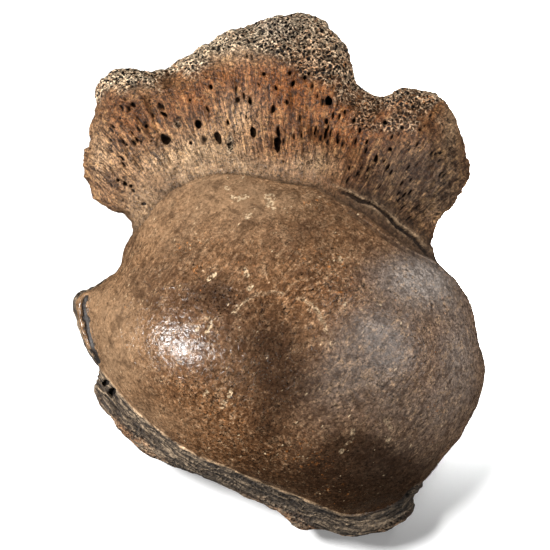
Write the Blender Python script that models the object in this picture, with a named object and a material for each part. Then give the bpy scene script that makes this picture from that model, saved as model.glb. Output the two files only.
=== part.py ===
"""The ball of a woolly mammoth's hip joint, with the neck of the thigh bone and its broken crest.

In metres, +Z up. The bone is one solid. It is shaped face on, as it shows to someone who looks down on the
ball: X to the right, Y towards the crest and Z towards the viewer. Then it is laid on its broken underside,
and its origin goes to the middle of its foot.
"""

import math

import bmesh
import bpy
import numpy as np
from mathutils import Matrix, Vector, noise

# Driving dimensions.
BALL_CENTRE = (0.003, -0.033)
BALL_RISE = 0.079
NECK_CENTRE = (0.000, 0.016)
LIE_ANGLE = math.radians(12)
FLOOR_DEPTH = 0.045
FOOT_FLAT = 0.0012

# How finely the bone is cut up, and how many triangles it keeps.
RING_POINTS = 200
GRAIN = 0.0016
TRIANGLES = 10600

# The edge of the joint surface, face on, clockwise from the left waist.
BALL_EDGE_NECK_SIDE = [
    (-0.0645, 0.0207),
    (-0.0576, 0.0302),
    (-0.0473, 0.0392),
    (-0.0306, 0.0452),
    (-0.0099, 0.0441),
    (0.0140, 0.0396),
    (0.0320, 0.0310),
    (0.0455, 0.0220),
    (0.0594, 0.0117),
    (0.0702, 0.0054),
]
BALL_EDGE_RIGHT = [
    (0.0819, -0.0068),
    (0.0874, -0.0225),
    (0.0912, -0.0405),
    (0.0905, -0.0535),
    (0.0845, -0.0660),
    (0.0700, -0.0845),
    (0.0590, -0.0963),
]
BALL_EDGE_LOWER = [
    (0.0415, -0.1035),
    (0.0234, -0.1071),
    (0.0077, -0.0990),
    (-0.0170, -0.0895),
    (-0.0423, -0.0788),
    (-0.0635, -0.0630),
    (-0.0752, -0.0513),
]
BALL_EDGE_LEFT = [
    (-0.0815, -0.0400),
    (-0.0870, -0.0260),
    (-0.0890, -0.0130),
    (-0.0840, -0.0060),
    (-0.0722, 0.0023),
    (-0.0680, 0.0117),
]

# The outline of the neck, its crest and the broken wall round the ball, face on, clockwise from the left
# waist.
LEFT_LOBE = [
    (-0.0653, 0.0216),
    (-0.0700, 0.0280),
    (-0.0774, 0.0306),
    (-0.0845, 0.0345),
    (-0.0893, 0.0420),
    (-0.0900, 0.0490),
    (-0.0858, 0.0590),
    (-0.0822, 0.0752),
    (-0.0815, 0.0848),
    (-0.0752, 0.0916),
    (-0.0644, 0.0925),
    (-0.0528, 0.0918),
]
TOP_LOBE = [
    (-0.0440, 0.0970),
    (-0.0324, 0.1044),
    (-0.0220, 0.1094),
    (-0.0120, 0.1125),
    (-0.0050, 0.1170),
    (0.0090, 0.1175),
    (0.0176, 0.1139),
    (0.0256, 0.1065),
    (0.0300, 0.0995),
    (0.0328, 0.0880),
]
RIGHT_LOBE = [
    (0.0385, 0.0828),
    (0.0488, 0.0800),
    (0.0567, 0.0833),
    (0.0670, 0.0818),
    (0.0752, 0.0774),
    (0.0784, 0.0690),
    (0.0810, 0.0602),
    (0.0846, 0.0495),
    (0.0842, 0.0414),
    (0.0785, 0.0324),
    (0.0729, 0.0275),
    (0.0698, 0.0158),
]
UNDER_BALL = [
    (0.0716, 0.0050),
    (0.0790, -0.0080),
    (0.0800, -0.0250),
    (0.0790, -0.0450),
    (0.0700, -0.0680),
    (0.0590, -0.0880),
]
HEEL = [
    (0.0585, -0.0975),
    (0.0585, -0.1049),
    (0.0545, -0.1112),
    (0.0446, -0.1152),
    (0.0333, -0.1166),
]
LOWER_WALL = [
    (0.0198, -0.1143),
    (0.0086, -0.1116),
    (-0.0050, -0.1037),
    (-0.0198, -0.0977),
    (-0.0473, -0.0862),
    (-0.0689, -0.0725),
    (-0.0770, -0.0626),
    (-0.0837, -0.0527),
]
LEFT_FLANGE = [
    (-0.0824, -0.0482),
    (-0.0788, -0.0440),
    (-0.0815, -0.0419),
    (-0.0869, -0.0338),
    (-0.0909, -0.0239),
    (-0.0927, -0.0149),
    (-0.0923, -0.0095),
    (-0.0857, -0.0065),
    (-0.0722, 0.0018),
    (-0.0675, 0.0120),
]

# How far round the ball turns down, in degrees from its top, before the joint surface ends, by bearing.
BALL_TURN = {
    0: 86,
    30: 70,
    60: 59,
    90: 57,
    120: 60,
    150: 74,
    175: 83,
    200: 74,
    230: 67,
    265: 67,
    300: 76,
    330: 88,
}

# The neck by bearing from its centre: how far it stands above the edge of the joint surface where they
# meet, how deep its valley is, the height of its crest and of its widest edge from the ball's middle, how
# square the crest's shoulder is, and the share of the outline that the foot keeps.
NECK_SECTORS = {
    0: (-0.003, 0.003, 0.016, -0.016, 3.0, 0.90),
    25: (-0.003, 0.007, 0.034, -0.014, 3.4, 0.84),
    45: (-0.001, 0.010, 0.038, -0.012, 3.2, 0.76),
    62: (0.000, 0.009, 0.036, -0.008, 3.0, 0.74),
    90: (0.001, 0.008, 0.034, -0.008, 2.8, 0.66),
    120: (0.001, 0.008, 0.036, -0.010, 3.0, 0.68),
    140: (0.001, 0.009, 0.038, -0.012, 3.2, 0.72),
    160: (0.000, 0.004, 0.026, -0.014, 3.2, 0.80),
    180: (0.000, 0.001, 0.010, -0.016, 3.0, 0.90),
    200: (-0.001, 0.000, 0.016, -0.006, 3.0, 0.88),
    215: (-0.001, 0.000, 0.018, -0.004, 3.0, 0.86),
    240: (-0.001, 0.000, 0.026, -0.002, 3.0, 0.88),
    270: (-0.001, 0.000, 0.026, -0.004, 3.0, 0.90),
    292: (-0.001, 0.000, 0.020, -0.008, 3.0, 0.90),
    315: (-0.004, 0.000, -0.004, -0.020, 3.0, 0.88),
    340: (-0.004, 0.000, -0.004, -0.020, 3.0, 0.88),
}

# Hollows and swellings pressed into the face side: x, y, reach and height of each. A hollow is below zero.
FACE_FORMS = {
    "saddle_middle": (-0.008, 0.066, 0.022, -0.0035),
    "saddle_left": (-0.048, 0.058, 0.018, -0.0040),
    "saddle_right": (0.040, 0.052, 0.018, -0.0045),
    "left_lobe_swelling": (-0.076, 0.056, 0.014, 0.0030),
    "right_lobe_swelling": (0.068, 0.058, 0.018, 0.0045),
    "right_lobe_rim": (0.062, 0.074, 0.010, -0.0030),
    "top_lobe_hollow": (0.012, 0.098, 0.012, -0.0030),
    "cleft_by_top_lobe": (0.036, 0.084, 0.008, -0.0060),
    "left_bulge": (-0.046, -0.030, 0.026, 0.0022),
    "right_bulge": (0.050, -0.026, 0.028, 0.0020),
    "middle_flat": (0.004, -0.024, 0.022, -0.0006),
}

# Lines pressed into the face side: their points, half width and depth.
UNDER_THE_LIP = [(0.0270, 0.0345), (0.0380, 0.0300), (0.0495, 0.0215), (0.0600, 0.0130)]
ABOVE_THE_BALL = [(-0.0560, 0.0345), (-0.0310, 0.0475), (-0.0080, 0.0470), (0.0140, 0.0425)]
FLANGE_CRACK = [(-0.0878, -0.0115), (-0.0880, -0.0200), (-0.0860, -0.0300), (-0.0820, -0.0395)]
PRESSED_LINES = (
    (UNDER_THE_LIP, 0.0020, 0.0016),
    (ABOVE_THE_BALL, 0.0018, 0.0007),
    (FLANGE_CRACK, 0.0015, 0.0022),
)

# The ledges of the layered wall under the ball's lower edge: how far each groove between them lies outside
# that edge, their half width and depth, and the ends of the stretch from left to right.
LEDGE_GROOVES = (0.0022, 0.0064)
LEDGE_WIDTH = 0.0012
LEDGE_DEPTH = 0.0010
LEDGE_ENDS = (-0.074, 0.050)

# The mouths of the largest blood vessels: x, y, half width, half length, lean from upright and depth.
VESSEL_SIDES = 8
VESSEL_FLOOR = 0.45
VESSEL_MOUTHS = {
    "left_slanting": (-0.0510, 0.0602, 0.0018, 0.0030, -35, 0.0042),
    "left_oval": (-0.0369, 0.0668, 0.0014, 0.0020, -15, 0.0034),
    "left_slot": (-0.0281, 0.0610, 0.0011, 0.0030, -18, 0.0034),
    "left_spongy": (-0.0228, 0.0574, 0.0015, 0.0030, -10, 0.0020),
    "middle_slot": (-0.0125, 0.0636, 0.0011, 0.0028, -12, 0.0034),
    "long_slot": (-0.0014, 0.0585, 0.0012, 0.0048, 0, 0.0036),
    "right_round": (0.0212, 0.0769, 0.0018, 0.0021, 15, 0.0046),
    "right_small": (0.0323, 0.0756, 0.0012, 0.0013, 0, 0.0030),
    "top_round": (-0.0076, 0.0890, 0.0014, 0.0014, 0, 0.0036),
    "top_left": (-0.0190, 0.0776, 0.0013, 0.0017, 10, 0.0026),
    "crest_hollow": (-0.0085, 0.1075, 0.0020, 0.0025, 35, 0.0030),
    "notch": (-0.0788, -0.0480, 0.0018, 0.0018, 0, 0.0030),
}

# Where the broken crest starts, y by x, and the lumps of its sponge.
CREST_STARTS = {
    -0.083: 0.079,
    -0.065: 0.084,
    -0.052: 0.086,
    -0.037: 0.090,
    -0.030: 0.097,
    -0.010: 0.099,
    0.006: 0.093,
    0.015: 0.086,
    0.032: 0.081,
    0.043: 0.075,
    0.064: 0.072,
    0.074: 0.077,
}
CREST_BLEND = 0.003
CREST_LUMPS = 0.0050
CREST_UNEVEN = 0.0012

# Where the broken underside bears on the floor: bearing from the neck's centre and half width, in
# degrees. Beyond a foot the rim of the sole lifts over FOOT_BLEND degrees, by RIM_LIFT of the rise of the
# arch in its middle. The sole's rings are shares of the foot's outline, each with its share of that rise.
FEET = {35: 20, 150: 22, 235: 20, 290: 20}
FOOT_BLEND = 20
RIM_LIFT = 0.6
SOLE_RISE = 0.007
SOLE_RINGS = ((0.97, 0.0), (0.90, 0.0), (0.80, 0.0), (0.70, 0.25), (0.50, 0.7), (0.30, 0.9), (0.12, 1.0))

# The neck's rings, first as shares of the way out to the ball's edge and then from there to the outline.
INSIDE_BALL = (0.15, 0.4, 0.65, 0.85)
OUTSIDE_BALL = (0.0, 0.12, 0.25, 0.38, 0.50, 0.60, 0.68, 0.75, 0.81, 0.86, 0.90, 0.93, 0.96, 0.98, 0.995)
DOWN_THE_WALL = (0.15, 0.35, 0.55, 0.75, 0.92)
LEAST_SHOULDER = 0.003
VALLEY_END = 0.8
WALL_CURVE = 1.3

# The ball's rings, with the corners of its edge coming in only near the edge. Below the edge is its root:
# the drop, and the share of the edge that it keeps where the ball turns right under and where its edge
# stands high.
BALL_RINGS = 22
EDGE_CORNERS = 6
HIGH_EDGE = 0.020
BALL_ROOT = ((0.005, 0.995, 0.97), (0.012, 0.97, 0.93), (0.018, 0.91, 0.88), (0.022, 0.82, 0.80))

# How values are evened out round the bone, and how many waves of the edge's shape reach the top of the
# ball.
EASE_DEGREES = 9
BROAD_WAVES = 3

# The unevenness of the bone: the size of its lumps, their height on the smooth ball, and on the neck and
# the wall.
BROAD_LUMPS = 0.026
SMALL_LUMPS = 0.009
BALL_UNEVEN = 0.0003
BROAD_UNEVEN = 0.0026
SMALL_UNEVEN = 0.0012
NECK_STARTS = 0.040
NECK_BLEND = 0.020
WALL_FACING = 0.35
FLAT_ABOVE_FLOOR = 0.001
FLOOR_BLEND = 0.004

BONE_COLOUR = (0.16, 0.10, 0.062, 1.0)
BONE_ROUGHNESS = 0.5


def clear_scene():
    """Start from nothing."""
    for thing in list(bpy.data.objects):
        bpy.data.objects.remove(thing)


def closed_curve(points, count):
    """Points spaced evenly along a smooth closed curve through the given points."""
    given = np.array(points)
    before, after = np.roll(given, 1, axis=0), np.roll(given, -1, axis=0)
    last = np.roll(given, -2, axis=0)
    steps = np.linspace(0, 1, 24, endpoint=False)[:, None, None]
    fine = 0.5 * (
        2 * given
        + (after - before) * steps
        + (2 * before - 5 * given + 4 * after - last) * steps**2
        + (3 * given - before - 3 * after + last) * steps**3
    )
    fine = fine.transpose(1, 0, 2).reshape(-1, 2)
    fine = np.vstack([fine, fine[:1]])
    along = np.concatenate([[0], np.cumsum(np.linalg.norm(np.diff(fine, axis=0), axis=1))])
    wanted = np.linspace(0, along[-1], count, endpoint=False)
    return np.column_stack([np.interp(wanted, along, fine[:, axis]) for axis in (0, 1)])


def bearings(points, centre):
    """The bearing of each point from the centre, in degrees, anticlockwise from +X."""
    away = points - np.array(centre)
    return np.degrees(np.arctan2(away[:, 1], away[:, 0])) % 360


def by_bearing(table, degrees):
    """The table's values at each bearing, straight from row to row and evened out over EASE_DEGREES."""
    stops = np.array(sorted(table), float)
    values = np.array([np.atleast_1d(table[stop]) for stop in sorted(table)], float)
    whole = np.arange(360)
    reach = np.arange(-2 * EASE_DEGREES, 2 * EASE_DEGREES + 1)
    weight = np.exp(-((reach / EASE_DEGREES) ** 2))
    columns = []
    for column in values.T:
        straight = np.interp(whole, stops, column, period=360)
        eased = sum(w * np.roll(straight, step) for w, step in zip(weight, reach)) / weight.sum()
        columns.append(np.interp(degrees, whole, eased, period=360))
    return np.array(columns)


def broad_shape(points, centre):
    """The points of a closed curve with only the broadest waves of its shape kept."""
    waves = np.fft.fft((points - np.array(centre)) @ np.array([1, 1j]))
    order = np.abs(np.fft.fftfreq(len(points), 1 / len(points)))
    broad = np.fft.ifft(waves * (order <= BROAD_WAVES))
    return np.column_stack([broad.real, broad.imag])


def floor_height(y):
    """The height of the floor, face on: it falls away towards the crest."""
    return -(FLOOR_DEPTH + y * math.sin(LIE_ANGLE)) / math.cos(LIE_ANGLE)


def ring_body(name, rings, top, bottom):
    """A closed mesh skinned over rings of points, from a top pole to a bottom pole."""
    shape = bmesh.new()
    loops = [[shape.verts.new(point) for point in ring] for ring in rings]
    poles = [shape.verts.new(top), shape.verts.new(bottom)]
    count = len(loops[0])
    for i in range(count):
        after = (i + 1) % count
        shape.faces.new((poles[0], loops[0][after], loops[0][i]))
        shape.faces.new((poles[1], loops[-1][i], loops[-1][after]))
        for upper, lower in zip(loops, loops[1:]):
            shape.faces.new((upper[i], upper[after], lower[after], lower[i]))
    bmesh.ops.recalc_face_normals(shape, faces=shape.faces)
    mesh = bpy.data.meshes.new(name)
    shape.to_mesh(mesh)
    shape.free()
    body = bpy.data.objects.new(name, mesh)
    bpy.context.scene.collection.objects.link(body)
    return body


def ball_edge():
    """The edge of the joint surface: its points, how far the ball has turned there, and its heights."""
    corners = BALL_EDGE_NECK_SIDE + BALL_EDGE_RIGHT + BALL_EDGE_LOWER + BALL_EDGE_LEFT
    edge = closed_curve(corners, RING_POINTS)
    turn = np.radians(by_bearing(BALL_TURN, bearings(edge, BALL_CENTRE))[0])
    return edge, turn, BALL_RISE * np.cos(turn)


def make_ball():
    """The joint surface, a dome on its own edge, with a root that reaches down into the neck."""
    edge, turn, edge_height = ball_edge()
    centre = np.array(BALL_CENTRE)
    broad = broad_shape(edge, centre)
    rings = []
    for share in np.arange(1, BALL_RINGS + 1) / BALL_RINGS:
        spread = (np.sin(turn * share) / np.sin(turn))[:, None]
        detail = share**EDGE_CORNERS
        flat = centre + (broad * (1 - detail) + (edge - centre) * detail) * spread
        rings.append(np.column_stack([flat, BALL_RISE * np.cos(turn * share)]))
    # Below its edge the ball draws in: at once where the edge is high, slowly where it turns right under.
    roundness = np.clip(1 - edge_height / HIGH_EDGE, 0, 1)
    for drop, keep_round, keep_cut in BALL_ROOT:
        keep = keep_cut + (keep_round - keep_cut) * roundness
        flat = centre + (edge - centre) * keep[:, None]
        rings.append(np.column_stack([flat, edge_height - drop]))
    return ring_body("ball", rings, (*BALL_CENTRE, BALL_RISE), (*BALL_CENTRE, -BALL_ROOT[-1][0]))


def make_neck():
    """The neck, its crest and the broken wall, from the ball's edge over the crest and down to the sole."""
    lobes = LEFT_LOBE + TOP_LOBE + RIGHT_LOBE
    outline = closed_curve(lobes + UNDER_BALL + HEEL + LOWER_WALL + LEFT_FLANGE, RING_POINTS)
    centre = np.array(NECK_CENTRE)
    around = bearings(outline, NECK_CENTRE)
    meets, valley, crest, edge, squareness, foot = by_bearing(NECK_SECTORS, around)
    outer = np.linalg.norm(outline - centre, axis=1)
    out = (outline - centre) / outer[:, None]

    # Where the ball's edge lies on each bearing, and how high it is.
    margin, _, margin_height = ball_edge()
    margin_bearing = bearings(margin, NECK_CENTRE)
    order = np.argsort(margin_bearing)
    margin_reach = np.linalg.norm(margin - centre, axis=1)[order]
    inner = np.interp(around, margin_bearing[order], margin_reach, period=360)
    inner = np.minimum(inner, outer - LEAST_SHOULDER)
    start = np.interp(around, margin_bearing[order], margin_height[order], period=360) + meets
    hidden = float(np.min(start))
    rings = []

    def add_ring(reach, height):
        rings.append(np.column_stack([centre + out * reach[:, None], height]))

    for share in INSIDE_BALL:
        add_ring(inner * share, hidden + (start - hidden) * share)
    for share in OUTSIDE_BALL:
        ease = share * share * (3 - 2 * share)
        dip = math.sin(math.pi * min(1.0, share / VALLEY_END)) ** 2
        top = start + (crest - start) * ease - valley * dip
        shoulder = (1 - share**squareness) ** (1 / squareness)
        add_ring(inner + (outer - inner) * share, edge + (top - edge) * shoulder)
    add_ring(outer, edge)
    floor = floor_height(centre[1] + (outline[:, 1] - centre[1]) * foot)
    for down in DOWN_THE_WALL:
        add_ring(outer * (1 - (1 - foot) * down**WALL_CURVE), edge + (floor - edge) * down)
    # The sole: feet down on the floor, with the broken surface arched between and inside them.
    lift = np.ones_like(around)
    for bearing, half_width in FEET.items():
        off = np.abs((around - bearing + 180) % 360 - 180)
        lift = np.minimum(lift, np.clip((off - half_width) / FOOT_BLEND, 0, 1))
    for inward, arch in SOLE_RINGS:
        reach = outer * foot * inward
        rise = SOLE_RISE * np.maximum(arch, lift * RIM_LIFT)
        add_ring(reach, floor_height(centre[1] + out[:, 1] * reach) + rise)
    bottom = (*NECK_CENTRE, floor_height(NECK_CENTRE[1]) + SOLE_RISE)
    return ring_body("neck", rings, (*NECK_CENTRE, hidden), bottom)


def apply_modifiers(body):
    """Replace the object's mesh by its evaluated one."""
    graph = bpy.context.evaluated_depsgraph_get()
    mesh = bpy.data.meshes.new_from_object(body.evaluated_get(graph))
    body.modifiers.clear()
    body.data = mesh


def fuse(body, other):
    """Join two closed bodies into one with an even skin."""
    union = body.modifiers.new("union", "BOOLEAN")
    union.operation = "UNION"
    union.object = other
    apply_modifiers(body)
    bpy.data.objects.remove(other)
    skin = body.modifiers.new("even_skin", "REMESH")
    skin.mode = "VOXEL"
    skin.voxel_size = GRAIN
    soften = body.modifiers.new("soften", "SMOOTH")
    soften.factor = 0.5
    soften.iterations = 3
    apply_modifiers(body)


def lumps(places, size):
    """Smooth noise at each place, with lumps of the given size."""
    return np.array([noise.fractal(Vector(place) / size, 1.0, 2.0, 2) for place in places])


def gap_to(line, places):
    """How far each place is from the nearest stretch of a line, seen face on."""
    nearest = np.full(len(places), np.inf)
    for start, end in zip(np.array(line), np.array(line)[1:]):
        run = end - start
        share = np.clip(((places[:, :2] - start) @ run) / (run @ run), 0, 1)
        away = places[:, :2] - start - share[:, None] * run
        nearest = np.minimum(nearest, np.linalg.norm(away, axis=1))
    return nearest


def pressed_depth(places, facing):
    """How deep the pressed lines and the grooves of the layered wall go at each place."""
    depth = np.zeros(len(places))
    for line, width, deep in PRESSED_LINES:
        depth += deep * np.exp(-((gap_to(line, places) / width) ** 2)) * (facing > 0)
    edge = ball_edge()[0] - BALL_CENTRE
    edge_bearing = bearings(edge, (0, 0))
    order = np.argsort(edge_bearing)
    edge_reach = np.linalg.norm(edge, axis=1)[order]
    around = bearings(places[:, :2], BALL_CENTRE)
    outside = np.linalg.norm(places[:, :2] - BALL_CENTRE, axis=1)
    outside -= np.interp(around, edge_bearing[order], edge_reach, period=360)
    on_stretch = (places[:, 0] > LEDGE_ENDS[0]) & (places[:, 0] < LEDGE_ENDS[1])
    on_stretch &= (places[:, 1] < BALL_CENTRE[1]) & (facing > 0)
    for groove in LEDGE_GROOVES:
        depth += LEDGE_DEPTH * np.exp(-(((outside - groove) / LEDGE_WIDTH) ** 2)) * on_stretch
    return depth


def press_forms(body):
    """Press the named hollows, swellings and lines into the bone, with the unevenness of real bone."""
    vertices = body.data.vertices
    places = np.array([vertex.co for vertex in vertices])
    normals = np.array([vertex.normal for vertex in vertices])
    facing = np.clip(normals[:, 2], 0, 1)
    height = np.zeros(len(places))
    for x, y, reach, rise in FACE_FORMS.values():
        away = ((places[:, 0] - x) ** 2 + (places[:, 1] - y) ** 2) / reach**2
        height += rise * np.exp(-away) * facing
    on_neck = np.clip((places[:, 1] - NECK_STARTS) / NECK_BLEND, 0, 1)
    on_wall = np.clip(1 - normals[:, 2] / WALL_FACING, 0, 1)
    above_floor = places[:, 2] - floor_height(places[:, 1])
    off_floor = np.clip((above_floor - FLAT_ABOVE_FLOOR) / FLOOR_BLEND, 0, 1)
    rough = np.maximum(on_neck, on_wall) * off_floor
    height += lumps(places, BROAD_LUMPS) * (BALL_UNEVEN + BROAD_UNEVEN * rough)
    height += lumps(places, SMALL_LUMPS) * SMALL_UNEVEN * rough
    crest_start = np.interp(places[:, 0], list(CREST_STARTS), list(CREST_STARTS.values()))
    on_crest = np.clip((places[:, 1] - crest_start) / CREST_BLEND, 0, 1) * off_floor
    broken = np.flatnonzero(on_crest)
    height[broken] += lumps(places[broken], CREST_LUMPS) * CREST_UNEVEN * on_crest[broken]
    height -= pressed_depth(places, facing)
    places += normals * height[:, None]
    vertices.foreach_set("co", places.ravel())


def keep_largest(shape):
    """Drop all but the largest closed surface of a bmesh."""
    left, groups = set(shape.faces), []
    while left:
        group, front = set(), [left.pop()]
        while front:
            face = front.pop()
            group.add(face)
            near = {other for edge in face.edges for other in edge.link_faces} & left
            left -= near
            front.extend(near)
        groups.append(group)
    scraps = [face for group in groups if group is not max(groups, key=len) for face in group]
    bmesh.ops.delete(shape, geom=scraps, context="FACES")


def thin_out(body):
    """Bring the skin down to its number of triangles."""
    body.data.update()
    fewer = body.modifiers.new("fewer_triangles", "DECIMATE")
    faces = sum(len(face.vertices) - 2 for face in body.data.polygons)
    fewer.ratio = TRIANGLES / faces
    apply_modifiers(body)


def skin_point(body, x, y):
    """The point of the face side under x and y, and the way it faces."""
    _, point, normal, _ = body.ray_cast(Vector((x, y, 1)), Vector((0, 0, -1)))
    return point, normal


def vessel_plug(body, x, y, half_width, half_length, lean, depth):
    """An oval plug that narrows downwards, to be cut out of the bone."""
    point, normal = skin_point(body, x, y)
    inward = -(normal + Vector((0, 0, 1))).normalized()
    turn = Matrix.Rotation(-math.radians(lean), 3, "Z")
    frame = inward.to_track_quat("-Z", "Y").to_matrix()
    shape = bmesh.new()
    rings = []
    for down, share in ((-depth, 1.25), (0, 1.0), (depth, VESSEL_FLOOR)):
        ring = []
        for step in range(VESSEL_SIDES):
            angle = 2 * math.pi * step / VESSEL_SIDES
            place = Vector((half_width * math.cos(angle), half_length * math.sin(angle), 0)) * share
            ring.append(shape.verts.new(point + frame @ (turn @ place) + inward * down))
        rings.append(ring)
    shape.faces.new(rings[0])
    shape.faces.new(rings[-1][::-1])
    for upper, lower in zip(rings, rings[1:]):
        for i in range(VESSEL_SIDES):
            after = (i + 1) % VESSEL_SIDES
            shape.faces.new((upper[i], lower[i], lower[after], upper[after]))
    bmesh.ops.recalc_face_normals(shape, faces=shape.faces)
    mesh = bpy.data.meshes.new("vessel_plug")
    shape.to_mesh(mesh)
    shape.free()
    return bpy.data.objects.new("vessel_plug", mesh)


def open_vessels(body):
    """Cut the mouths of the largest blood vessels."""
    plugs = bpy.data.collections.new("vessel_plugs")
    for sizes in VESSEL_MOUTHS.values():
        plugs.objects.link(vessel_plug(body, *sizes))
    cut = body.modifiers.new("vessels", "BOOLEAN")
    cut.operation = "DIFFERENCE"
    cut.operand_type = "COLLECTION"
    cut.solver = "EXACT"
    cut.collection = plugs
    apply_modifiers(body)
    for plug in list(plugs.objects):
        bpy.data.objects.remove(plug)


def lay_down(body):
    """Lay the bone on its underside, cut its feet flat, and put its origin at the middle of its foot."""
    body.data.transform(Matrix.Rotation(LIE_ANGLE, 4, "X"))
    shape = bmesh.new()
    shape.from_mesh(body.data)
    lowest = min(vertex.co.z for vertex in shape.verts)
    cut = bmesh.ops.bisect_plane(
        shape,
        geom=shape.verts[:] + shape.edges[:] + shape.faces[:],
        plane_co=(0, 0, lowest + FOOT_FLAT),
        plane_no=(0, 0, -1),
        clear_outer=True,
    )
    rim = [piece for piece in cut["geom_cut"] if isinstance(piece, bmesh.types.BMEdge)]
    bmesh.ops.contextual_create(shape, geom=rim)
    bmesh.ops.triangulate(shape, faces=shape.faces)
    keep_largest(shape)
    bmesh.ops.recalc_face_normals(shape, faces=shape.faces)
    corners = np.array([vertex.co for vertex in shape.verts])
    low, high = corners.min(axis=0), corners.max(axis=0)
    middle = Vector(((low[0] + high[0]) / 2, (low[1] + high[1]) / 2, low[2]))
    bmesh.ops.translate(shape, verts=shape.verts, vec=-middle)
    shape.to_mesh(body.data)
    shape.free()
    print("size in mm", ((high - low) * 1000).round(1), "moved by", [round(v * 1000, 2) for v in middle])


def finish(body):
    """Name the bone, shade it smooth and give it its plain colour."""
    body.name = "hip_bone"
    body.data.name = "hip_bone"
    body.data.shade_smooth()
    bone = bpy.data.materials.new("fossil_bone")
    bone.use_nodes = True
    shader = bone.node_tree.nodes["Principled BSDF"]
    shader.inputs["Base Color"].default_value = BONE_COLOUR
    shader.inputs["Roughness"].default_value = BONE_ROUGHNESS
    shader.inputs["Metallic"].default_value = 0.0
    body.data.materials.clear()
    body.data.materials.append(bone)


def main():
    clear_scene()
    bone = make_neck()
    fuse(bone, make_ball())
    press_forms(bone)
    thin_out(bone)
    open_vessels(bone)
    lay_down(bone)
    finish(bone)


main()
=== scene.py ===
# %% [markdown]
# # A fossil ball of a mammoth's hip joint, dressed for its picture
#
# The bone is one solid, already built and packed at its real size. This lesson dresses it: a fine skin with
# pores, grain, grooves and ridges, then one procedural finish, then the camera, the floor and the lights.
# The packed model comes first, because every later step measures from it and must not make it larger.

import math

import bpy
import numpy as np
from mathutils import Matrix, Vector


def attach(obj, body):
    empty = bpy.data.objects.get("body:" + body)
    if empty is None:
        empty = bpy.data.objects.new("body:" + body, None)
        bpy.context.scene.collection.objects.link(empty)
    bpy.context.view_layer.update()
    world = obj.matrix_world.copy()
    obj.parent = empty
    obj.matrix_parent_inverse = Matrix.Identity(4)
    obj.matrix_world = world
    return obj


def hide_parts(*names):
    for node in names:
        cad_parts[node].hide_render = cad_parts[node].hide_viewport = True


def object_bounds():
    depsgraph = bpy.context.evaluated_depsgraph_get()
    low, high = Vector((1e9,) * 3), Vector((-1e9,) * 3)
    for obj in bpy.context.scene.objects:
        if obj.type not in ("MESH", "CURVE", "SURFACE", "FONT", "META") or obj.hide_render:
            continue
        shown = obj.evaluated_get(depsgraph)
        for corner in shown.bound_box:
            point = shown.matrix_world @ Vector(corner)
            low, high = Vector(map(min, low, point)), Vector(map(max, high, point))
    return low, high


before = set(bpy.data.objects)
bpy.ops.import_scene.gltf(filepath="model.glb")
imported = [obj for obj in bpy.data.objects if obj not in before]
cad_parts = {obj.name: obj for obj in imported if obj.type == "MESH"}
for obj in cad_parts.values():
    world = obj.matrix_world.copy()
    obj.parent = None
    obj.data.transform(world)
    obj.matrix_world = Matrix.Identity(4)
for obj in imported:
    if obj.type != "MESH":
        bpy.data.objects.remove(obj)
cad_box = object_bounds()
bone_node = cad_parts["hip_bone"]
print("packed bone", [round((high - low) * 1000, 1) for low, high in zip(*cad_box)], "mm")

# %% [markdown]
# ## Face on
#
# The picture looks straight down on the ball, while the bone lies on its broken underside, tipped by
# twelve degrees. It is easier to place a pore where the picture shows it, so this lesson thinks in a
# face-on frame: x to the right, y towards the crest, z towards the viewer, in millimetres from the
# middle of the ball's widest level. A camera also makes what is nearer to it look larger, so one
# function says where each point appears to be at that level. All places read off the picture are in
# those apparent millimetres.

# %% Between the bone's own frame and the face-on one
MM = 0.001
LIE_ANGLE = math.radians(12)
FACE_ON_ORIGIN = np.array([0.94, -0.36, 43.97])
AIM_X = -2.7
CAMERA_DISTANCE = 1900.0
PICTURE_SIDE = 550
MM_PER_PIXEL = 0.45


def face_on(points):
    """Points of the bone's own frame, in metres, as face-on millimetres."""
    x, y, z = (points / MM - FACE_ON_ORIGIN).T
    c, s = math.cos(LIE_ANGLE), math.sin(LIE_ANGLE)
    return np.column_stack([x, y * c + z * s, z * c - y * s])


def face_on_directions(vectors):
    """Directions of the bone's own frame as face-on ones."""
    x, y, z = vectors.T
    c, s = math.cos(LIE_ANGLE), math.sin(LIE_ANGLE)
    return np.column_stack([x, y * c + z * s, z * c - y * s])


def own_frame(directions):
    """Face-on directions or shifts, turned back into the bone's own frame."""
    x, y, z = directions.T
    c, s = math.cos(LIE_ANGLE), math.sin(LIE_ANGLE)
    return np.column_stack([x, y * c - z * s, z * c + y * s])


def apparent(places):
    """Where face-on places appear to be, in millimetres at the ball's widest level."""
    nearer = CAMERA_DISTANCE / (CAMERA_DISTANCE - places[:, 2])
    return np.column_stack([(places[:, 0] - AIM_X) * nearer + AIM_X, places[:, 1] * nearer])


def seen_at(column, row):
    """The apparent place, in millimetres, of a pixel of the picture."""
    middle = PICTURE_SIDE / 2
    return ((column - middle) * MM_PER_PIXEL + AIM_X, (middle - row) * MM_PER_PIXEL)


print("the top left pixel is at", seen_at(0, 0), "mm")

# %% [markdown] ## A fine skin  The packed solid has small facets, and worn bone has none. The skin
# starts as a copy of it, gets an even net of small squares with the Remesh modifier, and is smoothed
# until the facets are gone. A sculpted or subdivided copy would do as well, but an even net lets
# every later step move points by plain sums, with the same fineness everywhere.

# %% The even net
NET = 0.5
SMOOTHING_REACH = 2.4


def made_real(thing):
    """Swap an object's mesh for the one its modifiers make."""
    graph = bpy.context.evaluated_depsgraph_get()
    mesh = bpy.data.meshes.new_from_object(thing.evaluated_get(graph))
    thing.modifiers.clear()
    thing.data = mesh


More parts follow.
